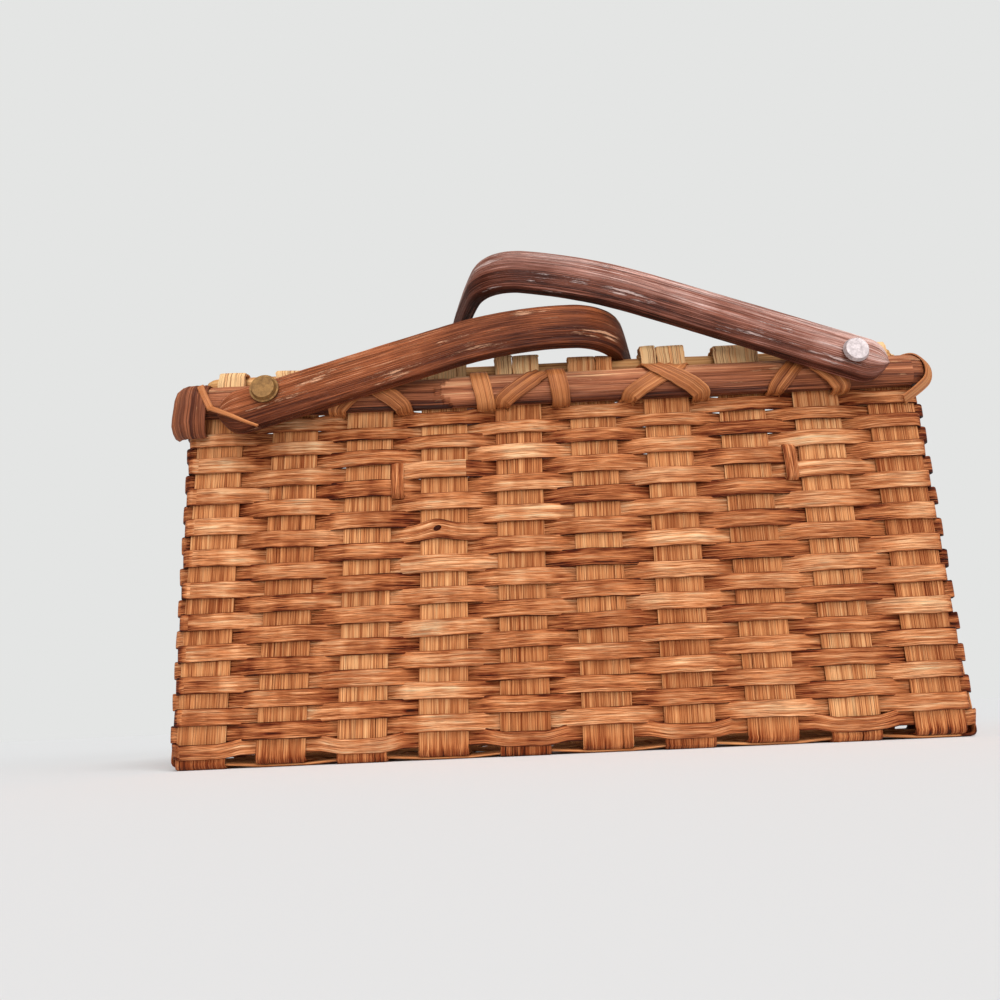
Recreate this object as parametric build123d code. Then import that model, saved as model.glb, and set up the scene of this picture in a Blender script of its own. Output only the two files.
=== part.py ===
from build123d import *
import math
import os

os.makedirs("parts", exist_ok=True)

# A woven splint picnic basket with two bentwood swing handles, standing on its base.
# Millimetres, +Z up, +X along the long walls, the front long wall towards -Y.
# The origin is on the floor, under the middle of the basket.

# Stakes: flat splints that cross in the base and turn up as the ribs of the walls.
cross_stake_count = 10
long_stake_count = 6
stake_pitch = 36.2
stake_width = 22.2
stake_thickness = 1.2
stake_bend = 3.2
stake_bend_rise = 1.2
corner_gap = 3.5
wall_flare = 2.5

# Weavers: one closed splint ring for each row, over one stake and under the next.
# A weaver's middle line is straight from one stake's centre to the next one's.
row_count = 22
tight_row_count = 3
row_gap = 0.35
weaver_width = 6.9
narrow_weaver_width = 5.3
weaver_thickness = 0.9
weave_clearance = 0.2
corner_overrun = 1.0

# Rims: a shaved hoop outside the stakes and a flat hoop inside them.
rim_gap = 2.4
outer_rim_height = 16.0
outer_rim_thickness = 6.3
outer_rim_corner_radius = 5.0
rim_chamfer_height = 4.5
rim_chamfer_depth = 2.6
inner_rim_rise = 3.6
inner_rim_height = 19.6
inner_rim_thickness = 5.0
inner_rim_corner_radius = 3.0
inner_rim_chamfer = 1.5
scarf_tip_x = -57.0
scarf_tip_length = 10.0
scarf_length = 34.0
scarf_depth = 1.8
fold_drop = 10.5
fold_bend = 1.8

# Lashing: flat splint wound over the outer rim, through the gaps between stakes.
# The room is what a straight or a leaning turn leaves between its edge and a stake.
straight_turn_room = 2.5
leaning_turn_room = 1.1
lashing_thickness = 0.9
lashing_layers = 2

# Splint ties: two short mends over a pair of weavers of the front wall.
tie_width = 6.0
tie_height = 15.0
tie_thickness = 0.8
left_tie_shift = -2.8
right_tie_shift = 3.1

# Handles: two bent bows outside the rims, each turning on a pair of rivets.
arm_width = 21.5
arm_thickness = 8.5
arm_ridge_drop = 2.5
arm_edge = 1.6
running_gap = 0.3
handle_corner_radius = 26.0
handle_corner_angle = 72.0
left_pivot_inset = 3.1
left_pivot_rise = 7.2
left_pivot_offset = 5.0
left_arm_angle = 16.2
left_arm_straight = 88.0
left_arm_droop = 17.0
left_droop_length = 61.0
left_tail = 24.0
right_pivot_inset = 4.5
right_pivot_drop = 3.8
right_pivot_offset = 0.0
right_arm_angle = 22.2
right_arm_straight = 100.0
right_arm_droop = 14.0
right_droop_length = 63.0
right_tail = 16.4

# Rivets: a shank through arm and rims, with a flat disc head outside and a peened end inside.
rivet_radius = 2.5
rivet_fit = 0.06
rivet_head_radius = 6.0
rivet_crown_radius = 5.2
rivet_head_height = 1.8
rivet_peen_radius = 4.2
rivet_end_radius = 3.0
rivet_peen_height = 1.2
washer_radius = 6.8
washer_thickness = 0.7

flare_slope = math.tan(math.radians(wall_flare))
weave_step = (stake_thickness + weaver_thickness) / 2 + weave_clearance
weave_crest = weave_step / (1 - stake_width / stake_pitch)
corner_tuck = weave_step + corner_overrun
crossing_step = stake_thickness + weave_clearance
base_level = stake_thickness / 2 + crossing_step
base_thickness = 3 * stake_thickness + 2 * weave_clearance + stake_bend_rise
end_plane = (cross_stake_count - 1) / 2 * stake_pitch + stake_width / 2 + corner_gap
base_half_depth = (long_stake_count - 1) / 2 * stake_pitch + stake_width / 2 + corner_gap


def cross_stake_x(index):
    return (index - (cross_stake_count - 1) / 2) * stake_pitch


def gap_after(index, places):
    return (places[index] + places[index + 1]) / 2


def half_depth(height):
    """Distance from the middle to the stakes of a long wall at this height."""
    return base_half_depth + height * flare_slope


def long_stake_y(index, height):
    """The end wall's stakes fan out evenly as the long walls flare."""
    spread = half_depth(height) / base_half_depth
    return (index - (long_stake_count - 1) / 2) * stake_pitch * spread


def row_width(row):
    return narrow_weaver_width if row < tight_row_count else weaver_width


def row_height(row):
    """Height of a weaver's middle, with row 0 at the top."""
    below = sum(row_width(lower) + row_gap for lower in range(row + 1, row_count))
    return base_thickness + below + row_width(row) / 2


rim_bottom = row_height(0) + row_width(0) / 2 + rim_gap
rim_top = rim_bottom + outer_rim_height
rim_middle = rim_bottom + outer_rim_height / 2
rim_tilt_room = (outer_rim_height / 2 + lashing_thickness) * flare_slope
rim_seat = stake_thickness / 2 + weave_clearance + rim_tilt_room
lashing_room = lashing_layers * (lashing_thickness + weave_clearance)
outer_rim_face = rim_seat + outer_rim_thickness
inner_rim_face = rim_seat + lashing_room + weave_clearance
inner_rim_back = inner_rim_face + inner_rim_thickness
inner_rim_bottom = rim_bottom + inner_rim_rise
inner_rim_top = inner_rim_bottom + inner_rim_height
fold_level = inner_rim_top + weave_clearance + stake_thickness / 2
fold_start = fold_level - 2 * fold_bend
fold_reach = inner_rim_back + weave_clearance + stake_thickness / 2
rim_half_depth = half_depth(rim_middle)
arm_inner_face = outer_rim_face + lashing_room + running_gap
arm_plane = rim_half_depth + arm_inner_face + arm_thickness / 2
arm_outer_face = arm_plane + arm_thickness / 2
cross_places = [cross_stake_x(i) for i in range(cross_stake_count)]
long_places = [long_stake_y(i, rim_middle) for i in range(long_stake_count)]
left_pivot_x = cross_places[1] - stake_width / 2 + left_pivot_inset
right_pivot_x = cross_places[8] + stake_width / 2 + right_pivot_inset
left_pivot_z = rim_bottom + left_pivot_rise
right_pivot_z = rim_top - right_pivot_drop
lashing_width = stake_pitch - stake_width - 2 * straight_turn_room
leaning_width = stake_pitch - stake_width - 2 * leaning_turn_room
tie_upper_row = tight_row_count + 1
left_tie_x = gap_after(2, cross_places) + left_tie_shift
right_tie_x = gap_after(7, cross_places) + right_tie_shift


def offset_path(points, distance, closed):
    """Move a path sideways by a distance, with mitred corners."""
    moved = []
    count = len(points)
    for here in range(count):
        before = points[here - 1] if closed or here > 0 else None
        after = points[(here + 1) % count] if closed or here < count - 1 else None
        normals = []
        for start, end in ((before, points[here]), (points[here], after)):
            if start is None or end is None:
                continue
            along = Vector(end[0] - start[0], end[1] - start[1]).normalized()
            normals.append(Vector(-along.Y, along.X))
        if len(normals) == 1:
            normals.append(normals[0])
        middle = (normals[0] + normals[1]).normalized()
        reach = distance / middle.dot(normals[0])
        moved.append((points[here][0] + middle.X * reach, points[here][1] + middle.Y * reach))
    return moved


def strip_face(points, thickness):
    """The side view of a bent splint that follows an open path."""
    upper = offset_path(points, thickness / 2, False)
    lower = offset_path(points, -thickness / 2, False)
    return make_face(Polyline(*upper, *reversed(lower), close=True))


def fold_strip(wall_low, wall_high, reach):
    """Side view of a stake's top: up the wall, over the inner rim and down inside it."""
    path = [
        (reach, fold_level - fold_drop),
        (reach, fold_level - fold_bend),
        (reach + fold_bend, fold_level),
        (wall_high - fold_bend, fold_level),
        (wall_high, fold_level - fold_bend),
        (wall_low, fold_start),
    ]
    return strip_face(path, stake_thickness)


def fold_edges(middle, limit):
    """A stake's two edges at its fold. Beside a corner the fold is cut back to the limit."""
    low = max(middle - stake_width / 2, -limit)
    high = min(middle + stake_width / 2, limit)
    return low, high


def rivet_holes(clearance):
    """Bars through both long walls at the two pivots."""
    bars = []
    for x, z in ((left_pivot_x, left_pivot_z), (right_pivot_x, right_pivot_z)):
        bar = Cylinder(rivet_radius + clearance, 3 * arm_plane, rotation=(90, 0, 0))
        bars.append(Pos(x, 0, z) * bar)
    return bars


def drilled(shape, clearance=rivet_fit):
    for bar in rivet_holes(clearance):
        shape = shape - bar
    return shape


def save(shapes, name):
    shapes = shapes if isinstance(shapes, list) else [shapes]
    solids = [solid for shape in shapes for solid in shape.solids()]
    part = solids[0] if len(solids) == 1 else Compound(children=solids)
    part.label = name
    export_step(part, f"parts/{name}.step")


# Cross stakes run under the basket from the front wall's rim to the back wall's rim.
def cross_stake(index):
    x = cross_stake_x(index)
    foot = base_level + stake_bend_rise
    half_path = [
        (half_depth(fold_start), fold_start),
        (half_depth(foot), foot),
        (half_depth(foot) - stake_bend, base_level),
    ]
    other_half = [(-y, z) for y, z in reversed(half_path)]
    profile = Plane.YZ * strip_face(half_path + other_half, stake_thickness)
    body = Pos(x, 0, 0) * extrude(profile, stake_width / 2, both=True)
    low, high = fold_edges(x, end_plane - inner_rim_back - inner_rim_corner_radius)
    bent = fold_strip(half_depth(fold_start), half_depth(fold_level - fold_bend),
                      rim_half_depth - fold_reach)
    back_fold = Pos(low, 0, 0) * extrude(Plane.YZ * bent, high - low)
    return drilled(body + back_fold + mirror(back_fold, Plane.XZ))


# Long stakes weave over and under the cross stakes and stand up as the end walls.
def long_stake(index):
    edge = stake_width / 2
    path = []
    for crossing in range(cross_stake_count):
        level = base_level + crossing_step * (-1) ** (index + crossing)
        path.append((cross_stake_x(crossing) - edge, level))
        path.append((cross_stake_x(crossing) + edge, level))
    left_foot = path[0][1] + stake_bend_rise
    right_foot = path[-1][1] + stake_bend_rise
    path = [(-end_plane, left_foot), *path, (end_plane, right_foot)]
    base = extrude(Plane.XZ * strip_face(path, stake_thickness), stake_width / 2, both=True)
    body = Pos(0, long_stake_y(index, 0), 0) * base
    section = Rectangle(stake_thickness, stake_width)
    y = long_stake_y(index, fold_start)
    low, high = fold_edges(y, rim_half_depth - inner_rim_back - inner_rim_corner_radius)
    bent = fold_strip(end_plane, end_plane, end_plane - fold_reach)
    right_fold = Pos(0, high, 0) * extrude(Plane.XZ * bent, high - low)
    for side, foot in ((-1, left_foot), (1, right_foot)):
        bottom = Pos(side * end_plane, long_stake_y(index, 0), foot) * section
        top = Pos(side * end_plane, y, fold_start) * section
        body += loft([bottom, top], ruled=True)
        body += right_fold if side == 1 else mirror(right_fold, Plane.YZ)
    return body


# A weaver passes outside every other stake. The next row passes outside the rest.
# At a corner it leaves the wall that it has passed outside and tucks behind the next.
def weaver_ring(row):
    height = row_height(row)
    depth = half_depth(height)
    end_places = [long_stake_y(i, height) for i in range(long_stake_count)]
    walls = (
        (cross_places, end_plane, depth, 0),
        (end_places, depth, end_plane, 90),
        (cross_places, end_plane, depth, 180),
        (end_places, depth, end_plane, 270),
    )
    path = []
    number = 1
    for places, half_run, plane, turn in walls:
        wall = []
        for place in places:
            side = 1 if number % 2 == row % 2 else -1
            wall.append((place, -plane - side * weave_crest))
            number += 1
        if side == 1:
            wall.append((half_run - corner_tuck, -plane - weave_step))
        else:
            wall.append((half_run + weave_step, -plane + corner_tuck))
        path += [Vector(x, y).rotate(Axis.Z, turn) for x, y in wall]
    points = [(point.X, point.Y) for point in path]
    outer = make_face(Polyline(*offset_path(points, -weaver_thickness / 2, True), close=True))
    inner = make_face(Polyline(*offset_path(points, weaver_thickness / 2, True), close=True))
    return Pos(0, 0, height) * extrude(outer - inner, row_width(row) / 2, both=True)


def hoop(face_in, thickness, bottom, height, inner_radius):
    """A rounded rectangular band whose inner face stands this far outside the stakes."""
    inside = (2 * (end_plane + face_in), 2 * (rim_half_depth + face_in))
    outside = (inside[0] + 2 * thickness, inside[1] + 2 * thickness)
    band = RectangleRounded(*outside, inner_radius + thickness)
    band -= RectangleRounded(*inside, inner_radius)
    return Pos(0, 0, bottom) * extrude(band, height)


# The outer rim's outer edges are shaved. Its right end laps the left one with a carved tip.
def outer_rim():
    rim = hoop(rim_seat, outer_rim_thickness, rim_bottom, outer_rim_height, outer_rim_corner_radius)
    for end in (0, -1):
        flat = rim.faces().filter_by(Axis.Z).sort_by(Axis.Z)[end]
        rim = chamfer(flat.outer_wire().edges(), rim_chamfer_depth, rim_chamfer_height, reference=flat)
    face = -(rim_half_depth + outer_rim_face)
    tip = (scarf_tip_x, rim_middle)
    step_x = scarf_tip_x + scarf_tip_length
    far_x = scarf_tip_x - scarf_length
    notch = make_face(
        Plane.XZ * Polyline(tip, (step_x, rim_top), (far_x, rim_top), (far_x, rim_bottom),
                            (step_x, rim_bottom), close=True)
    )
    notch = Pos(0, face, 0) * extrude(notch, scarf_depth, both=True)
    slope = math.degrees(math.atan2(scarf_depth, scarf_length))
    plane = Pos(far_x, face, rim_middle) * Rot(0, 0, slope)
    return drilled(rim - (notch & plane * Pos(0, -scarf_length, 0) * Box(4 * scarf_length,
                   2 * scarf_length, 2 * outer_rim_height)))


def inner_rim():
    band = hoop(-inner_rim_back, inner_rim_thickness, inner_rim_bottom, inner_rim_height,
                inner_rim_corner_radius)
    top = band.faces().sort_by(Axis.Z)[-1]
    return drilled(chamfer(top.edges(), inner_rim_chamfer))


# One turn of lashing leans from its lower gap to its upper gap on both faces of the rim.
def lashing_turn(wall_half, low_along, high_along, layer):
    grow = layer * (lashing_thickness + weave_clearance)
    shaved_face = outer_rim_face - rim_chamfer_depth
    rim_outline = [
        (-rim_seat, rim_bottom),
        (shaved_face, rim_bottom),
        (outer_rim_face, rim_bottom + rim_chamfer_height),
        (outer_rim_face, rim_top - rim_chamfer_height),
        (shaved_face, rim_top),
        (-rim_seat, rim_top),
    ]
    loop = make_face(Polyline(*offset_path(rim_outline, -grow, True), close=True))
    loop -= make_face(Polyline(*offset_path(rim_outline, lashing_thickness - grow, True), close=True))
    tube = Pos(0, -wall_half, 0) * extrude(mirror(Plane.YZ * loop, Plane.XZ), 6 * stake_pitch, both=True)
    half = lashing_width / 2 if low_along == high_along else leaning_width / 2
    low = rim_bottom - grow
    high = rim_top + grow
    drift = (high_along - low_along) * lashing_thickness / (high - low) / 2
    leaning = Polyline((low_along - drift - half, low), (low_along - drift + half, low),
                       (high_along + drift + half, high), (high_along + drift - half, high),
                       close=True)
    return tube & Pos(0, -wall_half, 0) * extrude(Plane.XZ * make_face(leaning), 4 * outer_rim_face,
                                                  both=True)


def crossed_lashing(wall_half, low_gap, high_gap):
    """Two turns that cross over the stake between two gaps."""
    return [
        lashing_turn(wall_half, low_gap, high_gap, 1),
        lashing_turn(wall_half, high_gap, low_gap, 2),
    ]


def front_lashing():
    gaps = [gap_after(i, cross_places) for i in range(cross_stake_count - 1)]
    turns = []
    for stake in (2, 6, 8):
        turns += crossed_lashing(rim_half_depth, gaps[stake - 1], gaps[stake])
    turns.append(lashing_turn(rim_half_depth, gaps[3], gaps[3], 2))
    turns.append(lashing_turn(rim_half_depth, gaps[3], gaps[4], 1))
    turns.append(lashing_turn(rim_half_depth, gaps[4], gaps[4], 2))
    return [drilled(turn, weave_clearance) for turn in turns]


def back_lashing():
    gaps = [gap_after(i, cross_places) for i in range(cross_stake_count - 1)]
    turns = []
    for stake in range(2, cross_stake_count - 1, 2):
        turns += crossed_lashing(rim_half_depth, -gaps[stake - 1], -gaps[stake])
    return [drilled(Rot(0, 0, 180) * turn, weave_clearance) for turn in turns]


def end_lashing(turn_angle):
    gaps = [gap_after(i, long_places) for i in range(long_stake_count - 1)]
    turns = []
    for stake in range(1, long_stake_count - 1, 2):
        turns += crossed_lashing(end_plane, gaps[stake - 1], gaps[stake])
    return [Rot(0, 0, turn_angle) * turn for turn in turns]


def splint_tie(x):
    """A short flat splint over two weavers, in a gap between two stakes."""
    height = (row_height(tie_upper_row) + row_height(tie_upper_row + 1)) / 2
    from_stake = min(abs(x - place) for place in cross_places) - tie_width / 2
    weaver_face = weave_crest * (1 - 2 * from_stake / stake_pitch) + weaver_thickness / 2
    y = half_depth(height) + weaver_face + weave_clearance + tie_thickness / 2
    return Pos(x, -y, height) * Rot(wall_flare, 0, 0) * Box(tie_width, tie_thickness, tie_height)


# A handle is one shaved splint bent to a bow: two arms, two corners and a bowed grip.
def handle(side, pivot_x, pivot_z, pivot_offset, angle, straight, droop, droop_length, tail):
    lean = math.radians(angle)
    along = Vector(side * math.cos(lean), 0, math.sin(lean))
    up = Vector(-side * math.sin(lean), 0, math.cos(lean))
    pivot = Vector(pivot_x, -arm_plane, pivot_z)
    start = pivot - along * tail - up * pivot_offset
    arm = Plane(origin=start, x_dir=along, z_dir=(0, -side, 0))
    run = Line((0, 0), (tail + straight, 0))
    droop_radius = droop_length / math.radians(droop)
    bend = JernArc(run @ 1, run % 1, droop_radius, -droop)
    arm_path = arm * (run + bend)
    corner_start = arm_path @ 1
    grip = Plane(origin=corner_start, x_dir=arm_path % 1, z_dir=(arm_path % 1).cross(Vector(0, 1, 0)))
    corner = JernArc((0, 0), (1, 0), handle_corner_radius, handle_corner_angle)
    bow_angle = 90 - handle_corner_angle
    bow_radius = (arm_plane - (corner @ 1).Y) / math.sin(math.radians(bow_angle))
    bow = JernArc(corner @ 1, corner % 1, bow_radius, bow_angle)
    path = Wire((arm_path + grip * (corner + bow)).edges())
    half_width = arm_width / 2
    half_thick = arm_thickness / 2
    shaved = [
        (-half_thick, -half_width),
        (half_thick - 1.5 * arm_edge, -half_width),
        (half_thick, -arm_ridge_drop),
        (half_thick - arm_edge, half_width - arm_edge),
        (half_thick - 2 * arm_edge, half_width),
        (-half_thick, half_width),
    ]
    end = Plane(origin=start, x_dir=(0, -1, 0), z_dir=along)
    section = end * make_face(Polyline(*[(t, -side * h) for t, h in shaved], close=True))
    bow_half = sweep(section, path=path)
    body = bow_half + mirror(bow_half, Plane.XZ)
    square = Rectangle(arm_width, 2 * arm_width)
    rounding = arm * (square - Pos(half_width, 0) * Circle(half_width))
    body -= extrude(rounding, 3 * arm_plane, both=True)
    bore = Cylinder(rivet_radius + rivet_fit, 3 * arm_plane, rotation=(90, 0, 0))
    return body - Pos(pivot_x, 0, pivot_z) * bore


def rivet_pair(x, z):
    """A shank with a flat disc head outside the arm and a peened end inside the inner rim."""
    seat = arm_outer_face + running_gap + washer_thickness
    inside = rim_half_depth - inner_rim_back - weave_clearance
    outline = Polyline(
        (0, inside - rivet_peen_height), (rivet_end_radius, inside - rivet_peen_height),
        (rivet_peen_radius, inside), (rivet_radius, inside), (rivet_radius, seat),
        (rivet_head_radius, seat), (rivet_crown_radius, seat + rivet_head_height),
        (0, seat + rivet_head_height), close=True
    )
    half = make_face(Plane.XZ * outline)
    front = Pos(x, 0, z) * Rot(90, 0, 0) * revolve(half, Axis.Z)
    return [front, mirror(front, Plane.XZ)]


def washer_pair(x, z):
    ring = Circle(washer_radius) - Circle(rivet_radius + rivet_fit)
    washer = extrude(Plane.XZ * ring, washer_thickness)
    front = Pos(x, -(arm_outer_face + running_gap), z) * washer
    return [front, mirror(front, Plane.XZ)]


for stake_number in range(cross_stake_count):
    save(cross_stake(stake_number), f"cross_stake_{stake_number + 1:02d}")
for stake_number in range(long_stake_count):
    save(long_stake(stake_number), f"long_stake_{stake_number + 1:02d}")
for row_number in range(row_count):
    save(weaver_ring(row_number), f"weaver_row_{row_number + 1:02d}")
save(outer_rim(), "outer_rim")
save(inner_rim(), "inner_rim")
save(front_lashing(), "front_lashing")
save(back_lashing(), "back_lashing")
save(end_lashing(90), "right_lashing")
save(end_lashing(-90), "left_lashing")
save(splint_tie(left_tie_x), "left_tie")
save(splint_tie(right_tie_x), "right_tie")
save(handle(1, left_pivot_x, left_pivot_z, left_pivot_offset, left_arm_angle, left_arm_straight,
            left_arm_droop, left_droop_length, left_tail), "left_handle")
save(handle(-1, right_pivot_x, right_pivot_z, right_pivot_offset, right_arm_angle,
            right_arm_straight, right_arm_droop, right_droop_length, right_tail), "right_handle")
save(rivet_pair(left_pivot_x, left_pivot_z), "left_rivets")
save(rivet_pair(right_pivot_x, right_pivot_z), "right_rivets")
save(washer_pair(left_pivot_x, left_pivot_z), "left_washers")
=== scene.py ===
import bmesh
import bpy
import math
from mathutils import Matrix, Vector


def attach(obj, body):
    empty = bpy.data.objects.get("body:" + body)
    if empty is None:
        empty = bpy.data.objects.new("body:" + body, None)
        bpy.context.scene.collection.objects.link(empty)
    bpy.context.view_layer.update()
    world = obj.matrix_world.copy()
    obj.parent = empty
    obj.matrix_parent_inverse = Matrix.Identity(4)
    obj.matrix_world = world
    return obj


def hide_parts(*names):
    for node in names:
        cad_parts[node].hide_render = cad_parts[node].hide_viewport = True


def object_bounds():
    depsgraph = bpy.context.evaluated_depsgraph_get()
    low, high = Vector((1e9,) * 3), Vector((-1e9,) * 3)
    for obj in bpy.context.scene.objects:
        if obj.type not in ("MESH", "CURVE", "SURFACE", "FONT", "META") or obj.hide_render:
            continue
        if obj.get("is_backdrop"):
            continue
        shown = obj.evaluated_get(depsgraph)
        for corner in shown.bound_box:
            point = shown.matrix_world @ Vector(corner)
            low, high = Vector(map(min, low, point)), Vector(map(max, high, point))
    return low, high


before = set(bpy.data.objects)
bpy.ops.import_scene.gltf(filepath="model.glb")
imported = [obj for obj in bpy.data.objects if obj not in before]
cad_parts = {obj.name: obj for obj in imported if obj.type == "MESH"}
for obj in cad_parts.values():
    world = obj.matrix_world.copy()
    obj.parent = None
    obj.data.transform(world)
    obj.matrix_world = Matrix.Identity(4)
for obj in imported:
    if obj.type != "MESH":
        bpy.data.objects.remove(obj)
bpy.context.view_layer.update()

# The camera stands low in front of the basket and looks up at it a little, as the photograph does.
# The basket is on a pale floor, lit by three broad soft lamps: above, in front and at the right.
eye = Vector((-0.0236, -0.4519, 0.0166))
eye_forward = Vector((-0.0091, 0.9603, 0.2786)).normalized()
eye_right = eye_forward.cross(Vector((0.0469, -0.2779, 0.9595))).normalized()
camera = bpy.data.objects.new("camera", bpy.data.cameras.new("camera"))
camera.data.sensor_width = 36.0
camera.data.lens = 27.0
camera.data.clip_start = 0.01
camera.matrix_world = Matrix.Translation(eye) @ Matrix(
    (eye_right, eye_right.cross(eye_forward), -eye_forward)).transposed().to_4x4()
bpy.context.collection.objects.link(camera)
bpy.context.scene.camera = camera
bpy.context.scene.view_settings.view_transform = "Standard"


def add(tree, kind, inputs=None, **settings):
    """A shader node with its settings, and its inputs given as values or as sockets."""
    node = tree.nodes.new(kind)
    for key, value in settings.items():
        setattr(node, key, value)
    for key, value in (inputs or {}).items():
        if isinstance(value, bpy.types.NodeSocket):
            tree.links.new(value, node.inputs[key])
        else:
            node.inputs[key].default_value = value
    return node


def maths(tree, operation, *values):
    """The result of one step of arithmetic, from values or sockets."""
    return add(tree, "ShaderNodeMath", dict(enumerate(values)), operation=operation).outputs[0]


def shade(red, green, blue):
    """A colour as the eye sees it, 0 to 255, turned into the shader's linear one."""
    channels = (red, green, blue)
    return tuple(((c / 255 + 0.055) / 1.055) ** 2.4 if c > 10 else c / 3294 for c in channels) + (1.0,)


def lamp(name, place, spread, strength):
    """A broad soft light from that side, as even on the far floor as on the basket."""
    light = bpy.data.objects.new(name, bpy.data.lights.new(name, "SUN"))
    light.data.angle = math.radians(spread)
    light.data.energy = strength
    light.location = place
    light.rotation_euler = Vector(place).to_track_quat("Z", "Y").to_euler()
    bpy.context.collection.objects.link(light)


lamp("overhead_lamp", (0.15, -0.8, 1.15), 40, 2.4)
lamp("front_lamp", (0.0, -1.2, 0.25), 30, 1.35)
lamp("right_lamp", (1.3, -0.9, 0.6), 40, 0.4)
world = bpy.data.worlds.new("pale_room")
bpy.context.scene.world = world
world.use_nodes = True
sky = world.node_tree
sky.nodes.clear()
path = add(sky, "ShaderNodeLightPath")
seen = maths(sky, "MAXIMUM", path.outputs["Is Camera Ray"], path.outputs["Is Transmission Ray"])
# The camera sees a pale wall. The light that the room itself throws on the basket is weaker.
room = add(sky, "ShaderNodeBackground", {"Color": (1.0, 0.98, 0.95, 1.0), "Strength": 0.24})
pale = add(sky, "ShaderNodeBackground", {"Color": shade(228, 229, 228), "Strength": 1.0})
mixed = add(sky, "ShaderNodeMixShader", {0: seen, 1: room.outputs[0], 2: pale.outputs[0]})
add(sky, "ShaderNodeOutputWorld", {"Surface": mixed.outputs[0]})
floor_reach = 6
floor_mesh = bpy.data.meshes.new("floor")
corners = [(x * floor_reach, y * floor_reach, 0) for x, y in ((-1, -1), (1, -1), (1, 1), (-1, 1))]
floor_mesh.from_pydata(corners, [], [(0, 1, 2, 3)])
floor = bpy.data.objects.new("floor", floor_mesh)
bpy.context.collection.objects.link(floor)
floor_finish = bpy.data.materials.new("pale_floor")
floor_finish.use_nodes = True
floor_shader = floor_finish.node_tree.nodes["Principled BSDF"]
floor_shader.inputs["Base Color"].default_value = shade(231, 232, 233)
floor_shader.inputs["Roughness"].default_value = 0.9
floor_shader.inputs["Specular IOR Level"].default_value = 0.05
floor_mesh.materials.append(floor_finish)
floor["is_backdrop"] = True

# Cross stakes: ten flat ash splints that run up the front wall, under the basket and up the back
# wall. Each end is folded over the inner rim and tucked down inside it. Honey-coloured, with dark
# pore lines along the splint, a few long splits, and brown cracked bends at the foot.
stake_pitch = 36.2
stake_width = 22.2
half_stake = stake_width / 2
stake_thickness = 1.2
stake_top = 174
end_plane = 177.5
base_half_depth = 105.1
flare = math.tan(math.radians(2.5))
rim_bottom = 161.95
rim_middle = rim_bottom + 8
rim_depth = base_half_depth + rim_middle * flare
foot_level = 1.36
foot_step = 0.6
flat_reach = 9.5
foot_bend = 2.8
crack_height = 1.5
crack_reach = 4.5
near_long_wall = 98
near_end_wall = 170
lean_slope = 0.0277
plumb_height = 82
lean_top = 176
cross_places = [(i - 4.5) * stake_pitch for i in range(10)]
long_places = [(i - 2.5) * stake_pitch for i in range(6)]


def half_depth(z):
    """How far each long wall stands from the middle at that height."""
    return base_half_depth + z * flare


def lean(x, z):
    """The real stakes lean a little to the right as they rise, those at the ends less than the rest."""
    return lean_slope * (min(z, lean_top) - plumb_height) * (1 - 0.6 * (x / end_plane) ** 4)


def wander(x, seed):
    """A smooth wavering number between -1 and 1."""
    return (math.sin(x + seed * 7.13) + 0.6 * math.sin(2.17 * x + seed * 3.71)
            + 0.35 * math.sin(4.31 * x + seed * 11.9)) / 1.95


def bump(x, middle, reach):
    """A smooth rise from 0 to 1 and back around a middle."""
    return math.exp(-((x - middle) / reach) ** 2)


def rounded(points, radius, steps=4):
    """The same run with each corner eased by a curve that starts this far from it."""
    run = [Vector(points[0])]
    for before, here, after in zip(points, points[1:], points[2:]):
        here = Vector(here)
        into, away = Vector(before) - here, Vector(after) - here
        start = here + into.normalized() * min(radius, into.length * 0.49)
        end = here + away.normalized() * min(radius, away.length * 0.49)
        for step in range(steps + 1):
            t = step / steps
            run.append(start * (1 - t) ** 2 + here * 2 * t * (1 - t) + end * t * t)
    run.append(Vector(points[-1]))
    return run


def spaced(points, gap):
    """More points on the long straight stretches, so that they can waver."""
    run = [points[0]]
    for start, end in zip(points, points[1:]):
        count = max(1, round((end - start).length / gap))
        run += [start.lerp(end, (k + 1) / count) for k in range(count)]
    return run


def heading(line, k):
    """The way that an open run goes at one of its points."""
    return line[min(k + 1, len(line) - 1)] - line[max(k - 1, 0)]


def splint_section(centre, side, out, width, thickness, crown=0.0, split=None):
    """A flat splint's cross-section: eased edges, a slightly rounded face, and a long split if it has one."""
    outer = [(-0.5, 0.12), (-0.478, 0.4), (-0.44, 0.5), (-0.3, 0.5), (-0.12, 0.5), (0.12, 0.5), (0.3, 0.5),
             (0.44, 0.5), (0.478, 0.4), (0.5, 0.12)]
    if split is not None:
        outer = [p for p in outer if abs(p[0] - split) > 0.04]
        outer = sorted(outer + [(split - 0.014, 0.5), (split, -0.1), (split + 0.014, 0.5)])
    inner = [(0.5, -0.2), (0.46, -0.5), (0.15, -0.5), (-0.15, -0.5), (-0.46, -0.5), (-0.5, -0.2)]
    outline = [(x, thickness * edge + crown * (1 - 4 * x * x)) for x, edge in outer]
    outline += [(x, thickness * edge + 0.6 * crown * (1 - 4 * x * x)) for x, edge in inner]
    return [centre + side * x * width + out * rise for x, rise in outline]


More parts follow.
